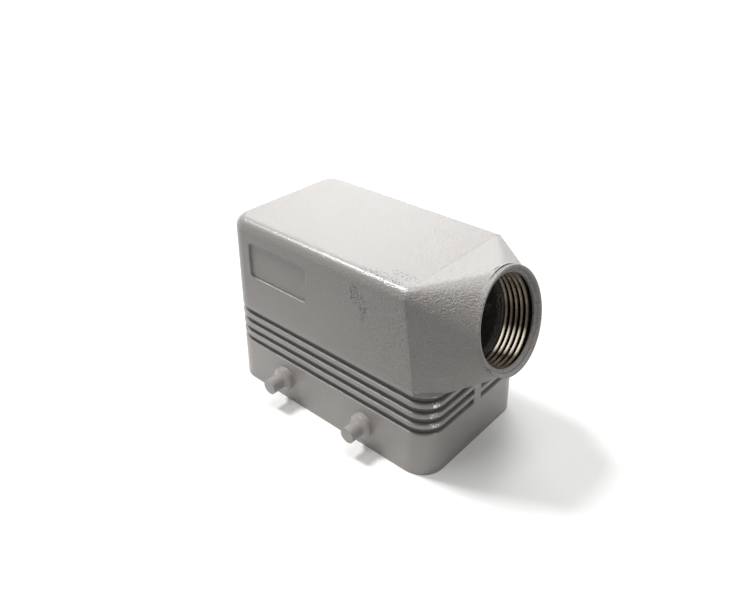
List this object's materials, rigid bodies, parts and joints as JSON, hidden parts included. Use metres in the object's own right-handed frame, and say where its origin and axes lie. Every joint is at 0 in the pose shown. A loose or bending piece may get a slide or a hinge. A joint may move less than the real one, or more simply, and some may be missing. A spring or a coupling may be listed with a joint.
{
  "type": "heavy duty rectangular connector",
  "caption": "Die-cast hood of a heavy duty rectangular connector, with an angled side cable entry, locking pegs and a screw-terminal pin insert.",
  "frame": {"origin": "centre of the hood's mating rim, on the plane of the rim", "axes": "+X along the hood towards the cable entry, -Y towards the face with the recessed name panel, +Z from the mating rim to the roof"},
  "size_m": [0.0834, 0.055, 0.0544],
  "materials": {
    "hood_enamel": "satin textured powder coat on die-cast aluminium",
    "insert_plastic": "moulded glass-filled polycarbonate",
    "contact_plating": "silver-plated turned copper alloy",
    "bracket_steel": "stamped, zinc plated",
    "zinc_steel": "turned, zinc plated"
  },
  "bodies": {
    "root": {"hood_housing": "hood_enamel", "contact_insulator": "insert_plastic", "terminal_screws": "zinc_steel", "earth_bracket_entry": "bracket_steel", "earth_bracket_rear": "bracket_steel", "earth_clamp_entry": "zinc_steel", "earth_clamp_rear": "zinc_steel", "earth_screws": "zinc_steel", "fixing_screws": "zinc_steel", "contact_1": "contact_plating", "contact_2": "contact_plating", "contact_3": "contact_plating", "contact_4": "contact_plating", "contact_5": "contact_plating", "contact_6": "contact_plating", "contact_7": "contact_plating", "contact_8": "contact_plating", "contact_9": "contact_plating", "contact_10": "contact_plating"}
  },
  "joints": []
}
